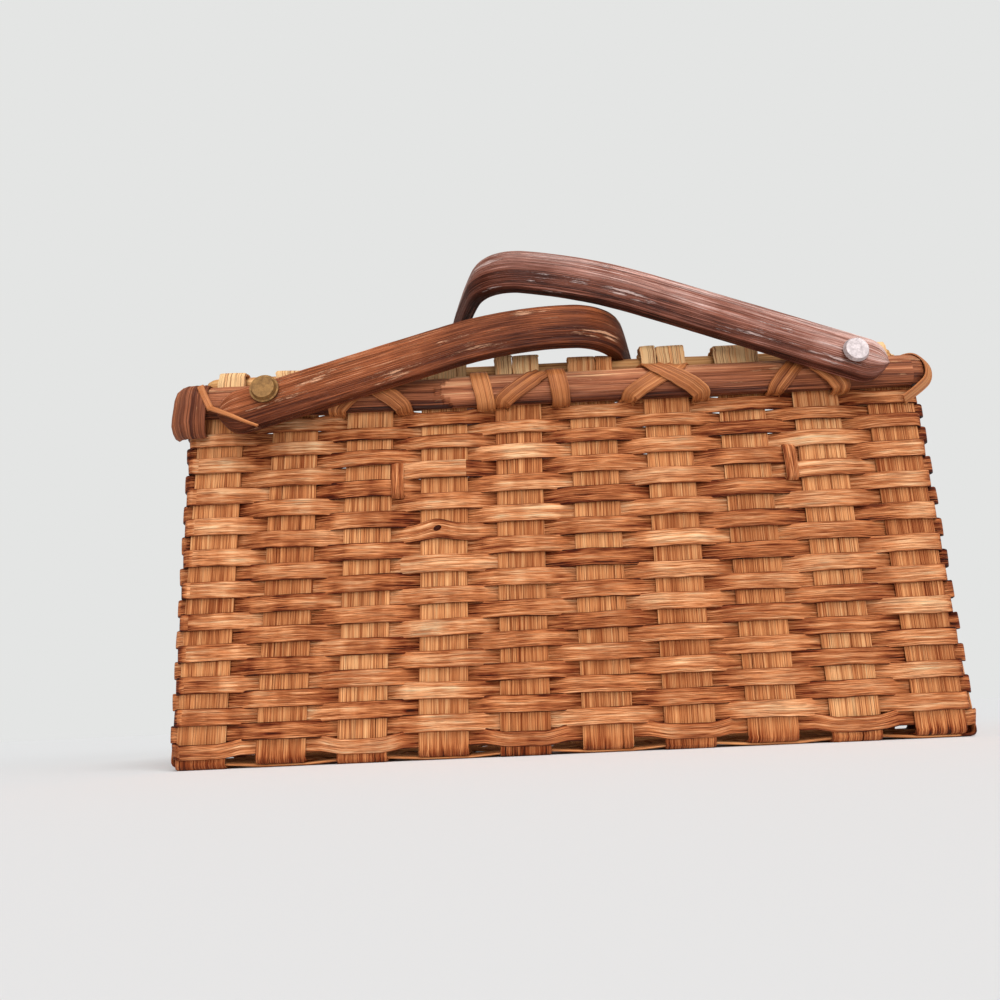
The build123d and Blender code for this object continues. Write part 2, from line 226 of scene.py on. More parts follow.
def skin(name, strips, finish, body, slot, *nodes, sharp=38, wear=None):
    """One object from strips: each has its cross-sections in millimetres, whether it closes into a
    ring, its tone, and perhaps a finish of its own. The tone is one number, one for each section, or
    one for each point. The grain starts elsewhere on every strip, so that no two look the same."""
    verts, faces, corners, tones, wears, finishes, slots = [], [], [], [], [], [finish], []
    for number, (sections, closed, tone, *own) in enumerate(strips):
        first = len(verts)
        count, around = len(sections), len(sections[0])
        middles = [sum(section, Vector()) / around for section in sections]
        along = [len(bpy.data.meshes) * 61.8 + number * 137.0]
        for k in range(count):
            along.append(along[-1] + (middles[(k + 1) % count] - middles[k]).length)
        halfway = sections[count // 2]
        across = [0.0]
        for k in range(around):
            across.append(across[-1] + (halfway[(k + 1) % around] - halfway[k]).length)
        for k, section in enumerate(sections):
            verts += [point * 0.001 for point in section]
            here = tone[k] if isinstance(tone, list) else tone
            tones += here if isinstance(here, list) else [here] * around
            wears += wear or [0.0] * around
        for k in range(count if closed else count - 1):
            after = (k + 1) % count
            for m in range(around):
                turn = (m + 1) % around
                faces.append((first + k * around + m, first + k * around + turn,
                              first + after * around + turn, first + after * around + m))
                corners += [(along[k], across[m]), (along[k], across[m + 1]),
                            (along[k + 1], across[m + 1]), (along[k + 1], across[m])]
        if not closed:
            for k, order in ((0, range(around - 1, -1, -1)), (count - 1, range(around))):
                faces.append(tuple(first + k * around + m for m in order))
                corners += [(along[k] + 0.3 * m, across[m]) for m in order]
        finishes += [look for look in own if look not in finishes]
        slots += [finishes.index(own[0] if own else finish)] * (len(faces) - len(slots))
    mesh = bpy.data.meshes.new(name)
    mesh.from_pydata(verts, [], faces)
    layer = mesh.uv_layers.new(name="grain")
    layer.data.foreach_set("uv", [0.001 * value for corner in corners for value in corner])
    mesh.attributes.new("tone", "FLOAT", "POINT").data.foreach_set("value", tones)
    mesh.attributes.new("wear", "FLOAT", "POINT").data.foreach_set("value", wears)
    mesh.polygons.foreach_set("material_index", slots)
    shell = bmesh.new()
    shell.from_mesh(mesh)
    bmesh.ops.recalc_face_normals(shell, faces=shell.faces)
    shell.to_mesh(mesh)
    shell.free()
    mesh.shade_smooth()
    mesh.set_sharp_from_angle(angle=math.radians(sharp))
    for look in finishes:
        mesh.materials.append(look)
    piece = bpy.data.objects.new(name, mesh)
    bpy.context.collection.objects.link(piece)
    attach(piece, body)
    if nodes:
        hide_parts(*nodes)
    return piece


def noise(tree, place, scale, detail, roughness=0.5):
    """A cloudy pattern of values between 0 and 1."""
    cloud = add(tree, "ShaderNodeTexNoise",
                {"Vector": place, "Scale": scale, "Detail": detail, "Roughness": roughness})
    return cloud.outputs["Fac"]


def remap(tree, value, low, high, new_low=0.0, new_high=1.0):
    """A value moved from one range to another and held inside it."""
    return add(tree, "ShaderNodeMapRange", {0: value, 1: low, 2: high, 3: new_low, 4: new_high}).outputs[0]


def blend(tree, amount, under, over):
    """One colour laid over another by that amount."""
    return add(tree, "ShaderNodeMix", {0: amount, 6: under, 7: over}, data_type="RGBA").outputs[2]


def make_grain_group():
    """Wood grain from a splint's own length and width: fibres, dark pores, broad bands, stains and knots."""
    group = bpy.data.node_groups.new("wood_grain", "ShaderNodeTree")
    face = group.interface
    face.new_socket("Place", in_out="INPUT", socket_type="NodeSocketVector")
    for name, value in (("Fibre Width", 0.0008), ("Fibre Length", 0.02), ("Pore Width", 0.0008),
                        ("Band Width", 0.006), ("Stain Size", 0.05), ("Knot Spacing", 0.1)):
        face.new_socket(name, in_out="INPUT", socket_type="NodeSocketFloat").default_value = value
    for name in ("Fibres", "Pores", "Bands", "Stain", "Knots", "Relief"):
        face.new_socket(name, in_out="OUTPUT", socket_type="NodeSocketFloat")
    come = add(group, "NodeGroupInput")
    parts = add(group, "ShaderNodeSeparateXYZ", {0: come.outputs["Place"]})

    def spot(length, width, stretch, depth):
        u = maths(group, "DIVIDE", parts.outputs["X"], length)
        u = maths(group, "MULTIPLY", u, stretch)
        v = maths(group, "DIVIDE", parts.outputs["Y"], width)
        w = maths(group, "ADD", parts.outputs["Z"], depth)
        return add(group, "ShaderNodeCombineXYZ", {0: u, 1: v, 2: w}).outputs[0]

    def layer(place, detail, low, high):
        return remap(group, noise(group, place, 1.0, detail, 0.6), low, high)

    fibre_length, stain_size = come.outputs["Fibre Length"], come.outputs["Stain Size"]
    fibres = layer(spot(fibre_length, come.outputs["Fibre Width"], 1.0, 0.0), 4.0, 0.28, 0.72)
    pores = layer(spot(fibre_length, come.outputs["Pore Width"], 0.7, 5.0), 2.0, 0.53, 0.64)
    bands = layer(spot(fibre_length, come.outputs["Band Width"], 0.15, 9.0), 2.0, 0.3, 0.7)
    stain = layer(spot(stain_size, stain_size, 1.0, 14.0), 3.0, 0.46, 0.72)
    knot_size = come.outputs["Knot Spacing"]
    cells = add(group, "ShaderNodeTexVoronoi", {"Vector": spot(knot_size, knot_size, 0.5, 0.0), "Scale": 1.0},
                voronoi_dimensions="2D")
    knots = remap(group, cells.outputs["Distance"], 0.011, 0.006)
    relief = maths(group, "SUBTRACT", fibres, pores)
    relief = maths(group, "SUBTRACT", relief, knots)
    add(group, "NodeGroupOutput", {"Fibres": fibres, "Pores": pores, "Bands": bands, "Stain": stain,
                                   "Knots": knots, "Relief": relief})
    return group


def make_scuff_group():
    """Where handling has rubbed a finish through, and along the handles' top edges also a painted sheen:
    ragged short marks, most of them where the wear is high.
    """
    group = bpy.data.node_groups.new("scuffs", "ShaderNodeTree")
    face = group.interface
    face.new_socket("Place", in_out="INPUT", socket_type="NodeSocketVector")
    face.new_socket("Wear", in_out="INPUT", socket_type="NodeSocketFloat")
    face.new_socket("Scuffs", in_out="OUTPUT", socket_type="NodeSocketFloat")
    come = add(group, "NodeGroupInput")

    def patches(stretch, detail, roughness):
        place = add(group, "ShaderNodeVectorMath", {0: come.outputs["Place"], 1: stretch},
                    operation="MULTIPLY")
        return noise(group, place.outputs[0], 1.0, detail, roughness)

    marks = patches((80.0, 1000.0, 1.0), 6.0, 0.75)
    areas = patches((26.0, 150.0, 1.0), 2.0, 0.5)
    total = maths(group, "ADD", marks, areas)
    total = maths(group, "MULTIPLY_ADD", come.outputs["Wear"], 0.14, total)
    add(group, "NodeGroupOutput", {"Scuffs": remap(group, total, 1.22, 1.27)})
    return group


grain_group = make_grain_group()
scuff_group = make_scuff_group()


def wood(name, pale, middle, deep, rubbed=shade(232, 190, 140), fibre_width=0.0006, fibre_length=0.02,
         pore_width=0.0008, band_width=0.006, stain_size=0.05, knot_spacing=0.1, fibres=0.3, pores=0.7,
         bands=0.6, stains=0.5, knots=0.0, scuffs=0.0, rough=0.5, relief=0.25, coat=0.0, shine=0.2):
    """Wood coloured from rubbed and pale to deep by its bands, fibres, pores, stains and the piece's tone. On
    the weavers, the outer rim and the handles that tone also holds painted light and shade.
    """
    finish = bpy.data.materials.new(name)
    finish.use_nodes = True
    tree = finish.node_tree
    shader = tree.nodes["Principled BSDF"]
    spot = add(tree, "ShaderNodeUVMap", uv_map="grain")
    tone = add(tree, "ShaderNodeAttribute", attribute_name="tone", attribute_type="GEOMETRY")
    worn = add(tree, "ShaderNodeAttribute", attribute_name="wear", attribute_type="GEOMETRY")
    lift = add(tree, "ShaderNodeCombineXYZ", {2: tone.outputs["Fac"]})
    place = add(tree, "ShaderNodeVectorMath", {0: spot.outputs[0], 1: lift.outputs[0]}, operation="ADD")
    grain = add(tree, "ShaderNodeGroup", {
        "Place": place.outputs[0], "Fibre Width": fibre_width, "Fibre Length": fibre_length,
        "Pore Width": pore_width, "Band Width": band_width, "Stain Size": stain_size,
        "Knot Spacing": knot_spacing}, node_tree=grain_group)
    fibre = remap(tree, grain.outputs["Fibres"], 0.0, 1.0, -0.5 * fibres, 0.5 * fibres)
    band = remap(tree, grain.outputs["Bands"], 0.0, 1.0, -0.5 * bands, 0.5 * bands)
    level = maths(tree, "ADD", fibre, band)
    level = maths(tree, "ADD", level, tone.outputs["Fac"])
    level = maths(tree, "ADD", level, 0.5)
    ramp = add(tree, "ShaderNodeValToRGB", {0: level})
    stops = ramp.color_ramp.elements
    stops[0].color, stops[1].color = shade(36, 12, 4), rubbed
    stops.new(0.12).color = deep
    stops.new(0.5).color = middle
    stops.new(0.86).color = pale
    colour = ramp.outputs[0]
    for pattern, strength, over in (("Pores", pores, deep), ("Stain", stains, deep),
                                    ("Knots", knots, shade(66, 26, 12))):
        amount = maths(tree, "MULTIPLY", grain.outputs[pattern], strength)
        colour = blend(tree, amount, colour, over)
    marks = add(tree, "ShaderNodeGroup", {"Place": place.outputs[0], "Wear": worn.outputs["Fac"]},
                node_tree=scuff_group)
    rub = maths(tree, "MULTIPLY", marks.outputs["Scuffs"], scuffs)
    tree.links.new(blend(tree, rub, colour, rubbed), shader.inputs["Base Color"])
    gloss = remap(tree, grain.outputs["Fibres"], 0.0, 1.0, rough + 0.14, rough - 0.1)
    gloss = maths(tree, "MULTIPLY_ADD", rub, 0.25, gloss)
    tree.links.new(gloss, shader.inputs["Roughness"])
    shader.inputs["Specular IOR Level"].default_value = shine
    shader.inputs["Coat Weight"].default_value = coat
    shader.inputs["Coat Roughness"].default_value = 0.35
    height = maths(tree, "MULTIPLY_ADD", rub, -1.0, grain.outputs["Relief"])
    dent = add(tree, "ShaderNodeBump", {"Height": height, "Strength": relief, "Distance": 0.0006})
    tree.links.new(dent.outputs[0], shader.inputs["Normal"])
    return finish


stake_wood = wood("stake_wood", shade(248, 186, 128), shade(212, 136, 82), shade(126, 50, 14),
                  rubbed=shade(242, 200, 146), fibre_width=0.00034, fibre_length=0.03, pore_width=0.00045,
                  band_width=0.003, fibres=0.7, pores=0.8, bands=0.4, stains=0.4, relief=0.6, shine=0.12)
# Where a stake has a long split, from -0.5 to 0.5 across it, and where a folded end is torn in two.
splits = {1: -0.22, 2: 0.27, 4: -0.27, 5: 0.3, 7: -0.3, 8: 0.1}
fold_tops = [187.3, 187.0, 186.8, 186.3, 190.0, 187.2, 191.4, 189.4, 187.3, 187.0]
torn_folds = {4: 0.40, 5: 0.62, 6: 0.36, 8: 0.6}
dark_fold = 5
fold_foot = 168
fold_level = 187.5
fold_reach = 9.4
fold_drop = 10.0
long_fold_limit = 165.6
end_fold_limit = 100.6


def fold(x, width, wall, top, sign, seed):
    """A stake's end: up from behind the outer rim, over the inner rim and down inside it."""
    over = max(top, fold_level)
    inside = wall(top) - fold_reach
    line = rounded([(0, wall(fold_foot), fold_foot), (0, wall(top), top - 0.9), (0, wall(top) - 3.4, over),
                    (0, inside, over - 0.1), (0, inside, top - fold_drop)], 3.2, 7)
    line = spaced(line, 2.0)
    sections = []
    for k, point in enumerate(line):
        step = heading(line, k)
        out = Vector((0, step.z, -step.y)).normalized()
        across = Vector((1, 0.03 * wander(k * 0.7, seed), 0.05 * wander(k * 0.5, seed + 3)))
        centre = Vector((x + 0.25 * wander(k * 0.6, seed + 1), point.y, point.z + 0.3 * wander(k, seed)))
        here = width + 0.5 * wander(k * 0.9, seed + 2)
        sections.append(splint_section(centre, across, out, here, stake_thickness, 0.15))
    if sign < 0:
        sections = [[Vector((p.x, -p.y, p.z)) for p in reversed(section)] for section in sections]
    return sections


for number, x in enumerate(cross_places):
    levels = [foot_level - foot_step * (-1) ** (number + j) for j in range(6)]
    run = [(0, -half_depth(stake_top), stake_top), (0, -half_depth(0.8), levels[0])]
    for j, y in enumerate(long_places):
        run += [(0, y - flat_reach, levels[j]), (0, y + flat_reach, levels[j])]
    run += [(0, half_depth(0.8), levels[5]), (0, half_depth(stake_top), stake_top)]
    line = spaced(rounded(run, foot_bend, 6), 2.5)
    sections, tones = [], []
    for k, point in enumerate(line):
        step = heading(line, k)
        out = Vector((0, step.z, -step.y)).normalized()
        foot = bump(point.z, crack_height, crack_reach) if abs(point.y) > near_long_wall else 0.0
        width = stake_width + 0.35 * wander(0.09 * k, number + 20) + 0.5 * foot * wander(1.7 * k, number)
        centre = Vector((x + lean(x, point.z) + 0.15 * wander(0.05 * k, number), point.y, point.z))
        centre += Vector((0, out.y, 0)) * 0.25 * foot * wander(2.3 * k, number + 6)
        thickness = stake_thickness * (1 + 0.25 * foot)
        sections.append(splint_section(centre, Vector((1, 0, 0)), out, width, thickness,
                                       split=splits.get(number)))
        tones.append(0.12 * wander(number * 2.3, 3) + 0.08 * wander(0.12 * k, number) - 0.32 * foot)
    strips = [(sections, False, tones)]
    for sign, tops in ((-1, fold_tops), (1, fold_tops[::-1])):
        low = max(x - half_stake, -long_fold_limit)
        high = min(x + half_stake, long_fold_limit)
        edges = [low, high]
        if number in torn_folds:
            edges.insert(1, low + (high - low) * torn_folds[number])
        for part, (start, end) in enumerate(zip(edges, edges[1:])):
            folded = fold((start + end) / 2 + lean(x, 170), end - start - 0.4, half_depth,
                          tops[number] - 0.5 * part, sign, number * 3 + part)
            strips.append((folded, False, 0.56 - 0.1 * part - (0.42 if number == dark_fold else 0)))
    skin(f"stake_{number + 1:02d}", strips, stake_wood, "basket", "stake_splint",
         f"cross_stake_{number + 1:02d}")

# Long stakes: six more of the same splints, woven over and under the cross stakes in the base.
# They stand up as the ribs of the two end walls and are folded over the inner rim too. The outer
# two lie a little further out at the foot, so that the front one shows along the bottom.
foot_shift = {0: -1.9, 5: 1.9}
shift_height = 40


def end_wall(z):
    """The end walls stand straight up, so they are as far from the middle at any height."""
    return end_plane


def fan(index, z):
    """The end wall's stakes fan out as the long walls flare."""
    return long_places[index] * half_depth(z) / base_half_depth


for number in range(6):
    ends = (foot_level + foot_step * (-1) ** number, foot_level - foot_step * (-1) ** number)
    run = [(-end_plane, 0, stake_top), (-end_plane, 0, ends[0])]
    for crossing, x in enumerate(cross_places):
        level = foot_level + foot_step * (-1) ** (number + crossing)
        run += [(x - flat_reach, 0, level), (x + flat_reach, 0, level)]
    run += [(end_plane, 0, ends[1]), (end_plane, 0, stake_top)]
    line = spaced(rounded(run, foot_bend, 4), 3.0)
    sections, tones = [], []
    for k, point in enumerate(line):
        step = heading(line, k)
        out = Vector((step.z, 0, -step.x)).normalized()
        foot = bump(point.z, crack_height, crack_reach) if abs(point.x) > near_end_wall else 0.0
        shift = foot_shift.get(number, 0) * (1 - min(1, point.z / shift_height))
        centre = Vector((point.x, fan(number, point.z) + shift, point.z))
        width = stake_width + 0.3 * wander(0.09 * k, number + 40)
        sections.append(splint_section(centre, Vector((0, 1, 0)), out, width, stake_thickness))
        tones.append(0.12 * wander(number * 3.1, 8) + 0.08 * wander(0.12 * k, number) - 0.5 * foot)
    strips = [(sections, False, tones)]
    y = fan(number, 170)
    low, high = max(y - half_stake, -end_fold_limit), min(y + half_stake, end_fold_limit)
    for sign in (-1, 1):
        top = 186.8 + 0.8 * wander(number, sign)
        turned = fold(-sign * (low + high) / 2, high - low - 0.5, end_wall, top, 1, number + 40)
        turned = [[Vector((sign * p.y, -sign * p.x, p.z)) for p in section] for section in turned]
        strips.append((turned, False, 0.5))
    skin(f"end_stake_{number + 1}", strips, stake_wood, "basket", "stake_splint",
         f"long_stake_{number + 1:02d}")

# Weavers: twenty-two thin ash splints, one ring to a row, each passing over one stake and under the
# next, with alternate rows shifted by a stake. They are packed tight, arch over the stakes, and are
# browner than them. The lowest one sags under the odd stakes, and one has sprung up at a knot.
row_count = 22
wide_rows = 18
lowest_row = 8.65
row_pitch = 7.25
changing_pitch = 6.45
tight_pitch = 5.65
row_sag = 2.2
weaver_thickness = 1.0
arch_reach = 8.6
arch_side = 1.8
arch_top = 2.15
corner_crest = 0.6
turn_from_outside = ((-2.5, 0.6), (-1.0, -2.95))
turn_from_inside = ((-3.0, -1.9), (0.1, -1.5), (1.9, -3.6))
laps = {4: (-84.0, -41.0), 10: (-76.0, -22.0)}
sprung_row = 8
sprung_x = -57
# Painted shade round a weaver's section: how much darker than its face
# it is at each point, along both edges and on the back.
painted_edge_shade = [0.5, 0.34, 0.1, 0, 0, 0, 0, 0.1, 0.34, 0.5] + [0.4] * 6
weaver_wood = wood("weaver_wood", shade(252, 188, 136), shade(210, 128, 76), shade(110, 36, 6),
                   rubbed=shade(252, 212, 164), fibre_width=0.00036, fibre_length=0.012, pore_width=0.00045,
                   band_width=0.0018, stain_size=0.03, fibres=0.72, pores=0.4, bands=0.42, stains=0.35,
                   knots=0.9, knot_spacing=0.2, relief=0.8, rough=0.46, shine=0.12)


def row_height(row):
    """A row's middle. The middle rows have settled a little lower than even spacing would put them."""
    up = row_count - 1 - row
    even = (lowest_row + row_pitch * min(up, wide_rows) + (changing_pitch if up > wide_rows else 0)
            + tight_pitch * max(0, up - wide_rows - 1))
    return even - row_sag * math.sin(math.pi * min(up, 18.5) / 18.5)


def row_room(row):
    """The height from one row to the next."""
    above, below = max(row - 1, 0), min(row + 1, row_count - 1)
    return (row_height(above) - row_height(below)) / (below - above)


def ring_controls(row):
    """Points that one weaver passes through: out over every other stake, in behind the rest. The third
    number is 1 in front of a stake, -1 behind one and 0 between two."""
    z = row_height(row)
    depth = half_depth(z)
    fanned = [fan(i, z) for i in range(6)]
    walls = (((0, -depth), (1, 0), cross_places, end_plane), ((end_plane, 0), (0, 1), fanned, depth),
             ((0, depth), (-1, 0), cross_places, end_plane), ((-end_plane, 0), (0, -1), fanned, depth))
    controls = []
    number = 1
    for (px, py), (tx, ty), places, half_run in walls:
        nx, ny = ty, -tx

        def put(s, off, side):
            controls.append((px + tx * s + nx * off + lean(s, z) * abs(tx), py + ty * s + ny * off, side))

        for place, centre in enumerate(places):
            side = 1 if number % 2 == row % 2 else -1
            top = arch_top + 0.2 * wander(number * 1.7, row)
            for along, off in ((-arch_reach, arch_side), (0.0, top), (arch_reach, arch_side)):
                put(centre + along, off * side, side)
            if place < len(places) - 1:
                put((centre + places[place + 1]) / 2, 0.0, 0)
            number += 1
        for beyond, off in turn_from_outside if side > 0 else turn_from_inside:
            put(half_run + beyond, off, corner_crest)
    return controls


def smooth_ring(controls, steps):
    """A smooth closed run through all the points."""
    line = []
    count = len(controls)
    for k in range(count):
        a, b, c, d = (Vector(controls[(k + m) % count]) for m in (-1, 0, 1, 2))
        for step in range(steps):
            t = step / steps
            line.append(0.5 * (2 * b + (c - a) * t + (2 * a - 5 * b + 4 * c - d) * t * t
                               + (3 * b - a - 3 * c + d) * t ** 3))
    return line


def weaver(row):
    """One row's splint, with its lap or its knot if it has one."""
    z = row_height(row)
    room = row_room(row)
    depth = half_depth(z)
    line = smooth_ring(ring_controls(row), 5)
    total = len(line)
    sections, tones = [], []
    for k, point in enumerate(line):
        step = line[(k + 1) % total] - line[k - 1]
        out = Vector((step.y, -step.x, 0)).normalized()
        crest = min(1.0, max(0.0, point.z))
        turn = 2 * math.pi * k / total
        rise = 0.25 * wander(9 * math.sin(turn), row) + 0.25 * wander(23 * math.cos(turn), row + 5)
        width = room + 1.0 - 0.35 * crest + 0.2 * wander(31 * math.cos(turn), row + 9)
        twist = 0.06 * wander(17 * math.sin(turn), row + 2)
        # The lowest row hangs down in front of the stakes. The top one fills the gap under the rim.
        if row == row_count - 1:
            rise += 0.5 - 1.7 * crest
            width -= 0.7
            twist += 0.25 * crest
        if row == 0:
            rise += 1.6 - 1.2 * crest
            width += 2.2 - 1.7 * crest
        if row == sprung_row and point.y < 0:
            sprung = bump(point.x, sprung_x, 7)
            rise += 2.0 * sprung
            width += 1.2 * sprung
        if abs(point.y) > 90:
            twist += flare
        up = (Vector((0, 0, 1)) + out * twist).normalized()
        centre = Vector((point.x, point.y, z + rise))
        sections.append(splint_section(centre, up, out, width, weaver_thickness, 0.14 * crest))
        # The tone is darker where the weaver dips behind the stakes: partly painted shade and partly dirt in
        # the crossings.
        here = (0.22 * wander(11 * math.sin(turn) + 5 * math.cos(turn), row * 1.3)
                + 0.1 * wander(61 * math.sin(turn), row) + 0.06 - 0.14 * (1 - crest)
                # Painted shade where the weaver turns the corners of the basket.
                - 0.3 * bump(abs(point.x), end_plane + 1, 5) * bump(abs(point.y), depth + 1, 4))
        # Each point round the section is darkened by the painted edge shade.
        tones.append([here - dark for dark in painted_edge_shade])
    strips = [(sections, True, tones)]
    if row in laps:
        low, high = laps[row]
        lapped = []
        for k in [k for k, p in enumerate(line) if p.y < 0 and low < p.x < high]:
            step = line[(k + 1) % total] - line[k - 1]
            out = Vector((step.y, -step.x, 0)).normalized()
            lapped.append([p + out * 0.6 + Vector((0, 0, 0.2)) for p in sections[k]])
        strips.append((lapped, False, 0.14))
    if row == sprung_row:
        knot = []
        for k in range(9):
            t = 0.97 * (k / 4 - 1)
            centre = Vector((-56.6 + 1.9 * t, -half_depth(z) - 2.8, z + 1.9 + 0.4 * t))
            knot.append(splint_section(centre, Vector((0, 0, 1)), Vector((0, -1, 0)),
                                       2.6 * math.sqrt(1 - t * t), 0.35))
        strips.append((knot, False, -1.2))
    skin(f"weaver_{row + 1:02d}", strips, weaver_wood, "basket", "weaver_splint", f"weaver_row_{row + 1:02d}")


for row in range(row_count):
    weaver(row)

# Outer rim: one shaved ash hoop outside the stakes, bent at the corners, with its pointed end
# lapped on the front wall. Reddish brown and rubbed paler in places, with a painted highlight
# along its top and painted shade along its lower edge.
outer_rim_wood = wood("outer_rim_wood", shade(218, 146, 104), shade(166, 96, 60), shade(80, 32, 12),
                      rubbed=shade(232, 178, 132), fibre_length=0.04, pore_width=0.0007, band_width=0.003,
                      stain_size=0.06, fibres=0.6, pores=0.55, bands=0.5, rough=0.42, relief=0.6, coat=0.03,
                      scuffs=0.4)
rim_corner = 5.0
inner_face = 1.2
front_limit = -100
scarf_tip = -55.7
tip_height = 7.6
tip_slope = 1.05
scarf_start = -92
scarf_length = 34
scarf_depth = 1.7


def hoop_line(half_x, half_y, radius, steps=10):
    """A rounded rectangle, counterclockwise from the right front corner, with its outward directions."""
    line = []
    for cx, cy, start in ((half_x - radius, -half_y + radius, -90), (half_x - radius, half_y - radius, 0),
                          (-half_x + radius, half_y - radius, 90), (-half_x + radius, -half_y + radius, 180)):
        for step in range(steps + 1):
            angle = math.radians(start + 90 * step / steps)
            out = Vector((math.cos(angle), math.sin(angle), 0))
            line.append((Vector((cx, cy, 0)) + out * radius, out))
    full = []
    for k, (point, out) in enumerate(line):
        after, out_after = line[(k + 1) % len(line)]
        gap = 1.0 if point.y < front_limit and after.y < front_limit else 4
        count = max(1, round((after - point).length / gap))
        for m in range(count):
            full.append((point.lerp(after, m / count), out.lerp(out_after, m / count).normalized()))
    return full


rim_outline = [(0.0, 0.6), (0.0, 15.2), (0.8, 15.9), (2.9, 15.8), (4.6, 14.2), (5.8, 12.2), (6.2, 9.8),
               (6.3, 7.6), (6.2, 5.4), (5.9, 3.9), (4.4, 1.2), (3.4, 0.2), (0.8, 0.0)]
# At each point round the rim: how rubbed it is, and how much lighter or darker than the rest,
# which is a painted highlight along the top and painted shade along the lower edge.
rim_wear = [0, 0, 0.2, 0.7, 0.9, 0.6, 0.3, 0.1, 0.1, 0.4, 0.0, 0, 0]
rim_painted_light = [0, 0, 0.1, 0.22, 0.16, 0.08, 0.02, 0, -0.04, -0.1, -0.2, -0.26, -0.24]
line = hoop_line(end_plane + inner_face, rim_depth + inner_face, rim_corner)
sections, tones = [], []
for k, (point, out) in enumerate(line):
    here = 0.12 * wander(0.025 * point.x + 0.02 * point.y, 5)
    section, tone_with_painted_light = [], []
    for light, (off, height) in zip(rim_painted_light, rim_outline):
        slant = tip_slope * abs(height - tip_height)
        recess = 0.0
        if point.y < front_limit and off > 2 and point.x < scarf_tip + slant:
            recess = scarf_depth * min(1.0, max(0.0, (point.x - scarf_start) / scarf_length))
        roughen = 0
        if off > 0.5:
            roughen = 0.2 * wander(0.045 * point.x + off, 1) + 0.12 * wander(0.19 * point.x + height, 2)
        place = point + out * (off + roughen - recess)
        sway = 0.35 * wander(0.02 * point.x, 6) if height > 1 else 0
        section.append(Vector((place.x, place.y, rim_bottom + height + sway)))
        past = min(1.0, max(0.0, (point.x - scarf_tip - slant) / 2 + 0.5))
        lap = 0.2 * past * bump(point.x, -48, 13) - 0.06 * (1 - past) * bump(point.x, -60, 12)
        # The tone at this point, with the rim's painted highlight along the top and painted shade along the
        # lower edge.
        tone_with_painted_light.append(here + light + (lap if point.y < front_limit else 0.0))
    sections.append(section)
    tones.append(tone_with_painted_light)
skin("outer_hoop", [(sections, True, tones)], outer_rim_wood, "basket", "outer_rim_wood", "outer_rim",
     sharp=24, wear=rim_wear)

# Inner rim: a flat hoop inside the stakes, standing a little higher than the outer one. It is
# pale brown and mostly hidden under the folded stakes.
inner_rim_wood = wood("inner_rim_wood", shade(228, 180, 120), shade(192, 136, 82), shade(110, 62, 34),
                      fibre_width=0.0008, fibre_length=0.05, band_width=0.004, pores=0.5, rough=0.55)
inner_outline = [(0, 0.8), (0, 19.6), (1.0, 21.0), (3.8, 21.2), (5.0, 20.0), (5.0, 0.8), (4.2, 0), (0.8, 0)]
inner_back = 8.6
inner_rise = 3.6
line = hoop_line(end_plane - inner_back, rim_depth - inner_back, 3.0, 6)
sections = []
for point, out in line:
    sections.append([Vector((point.x + out.x * off, point.y + out.y * off,
                             rim_bottom + inner_rise + height + 0.4 * wander(0.03 * point.x + off, 4)))
                     for off, height in inner_outline])
skin("inner_hoop", [(sections, True, 0.0)], inner_rim_wood, "basket", "inner_rim_wood", "inner_rim")

# Rim lashing: one flat splint wound over the outer rim and through the gaps between the stakes. It
# crosses over some stakes, goes straight over the rim beside others, and wraps the front corners,
# where its loose ends curl. Smooth, amber brown, with fine lines along it.
lashing_wood = wood("lashing_wood", shade(226, 156, 100), shade(182, 110, 60), shade(100, 44, 16),
                    fibre_width=0.0005, fibre_length=0.05, pore_width=0.0006, band_width=0.002,
                    stain_size=0.03, fibres=0.5, pores=0.5, bands=0.4, stains=0.3, rough=0.4, relief=0.5,
                    coat=0.04)


def winding(low, high, layer, width, base, side_way, out_way):
    """One turn round the outer rim. Low and high are its places along the rim under and over it, and
    a turn of layer 2 lies on those of layer 1. Each point is a distance out, a height and a place."""
    grow = layer - 0.5
    low_in, high_in = low + (low - high) * 0.05, high + (high - low) * 0.2
    ring = [(-2.2 - grow, 0.4 - grow, low_in), (3.2, -0.1 - grow, low),
            (4.9 + 0.6 * grow, 1.0 - 0.7 * grow, low),
            (6.1 + 0.9 * grow, 4.0, low + (high - low) * 0.22), (6.4 + grow, 8.0, (low + high) / 2),
            (6.0 + 0.9 * grow, 12.0, low + (high - low) * 0.78), (4.6 + 0.7 * grow, 14.6 + 0.5 * grow, high),
            (2.6, 16.0 + grow, high + (high - low) * 0.04), (-2.2 - grow, 15.6 + grow, high_in)]
    run = rounded(ring + ring[:2], 1.3, 3)[1:-1]
    count = len(run)
    sections = []
    for k, point in enumerate(run):
        step = run[(k + 1) % count] - run[k - 1]
        flat = math.hypot(step.x, step.y)
        out = out_way * (step.y / flat) + Vector((0, 0, -step.x / flat))
        along = out_way * step.x + Vector((0, 0, step.y)) + side_way * step.z
        across = out.cross(along).normalized()
        centre = base + out_way * point.x + side_way * point.z + Vector((0, 0, rim_bottom + point.y))
        sections.append(splint_section(centre, across, out, width + 0.3 * wander(k * 0.4, low), 0.85, 0.12))
    return sections


def front_turn(low, high, layer, width=8.4):
    """A turn on the front wall."""
    base = Vector((0, -rim_depth - inner_face, 0))
    return winding(low, high, layer, width, base, Vector((1, 0, 0)), Vector((0, -1, 0)))


def loose_end(points, hub, start_width, end_width):
    """A splint along a free path, its face turned away from the hub."""
    path = rounded(points, 5.0, 6)
    sections = []
    for k, point in enumerate(path):
        part = k / (len(path) - 1)
        step = heading(path, k).normalized()
        away = point - Vector(hub)
        out = (away - step * step.dot(away)).normalized()
        sections.append(splint_section(point, out.cross(step).normalized(), out,
                                       start_width + (end_width - start_width) * part ** 2, 0.8, 0.1))
    return sections


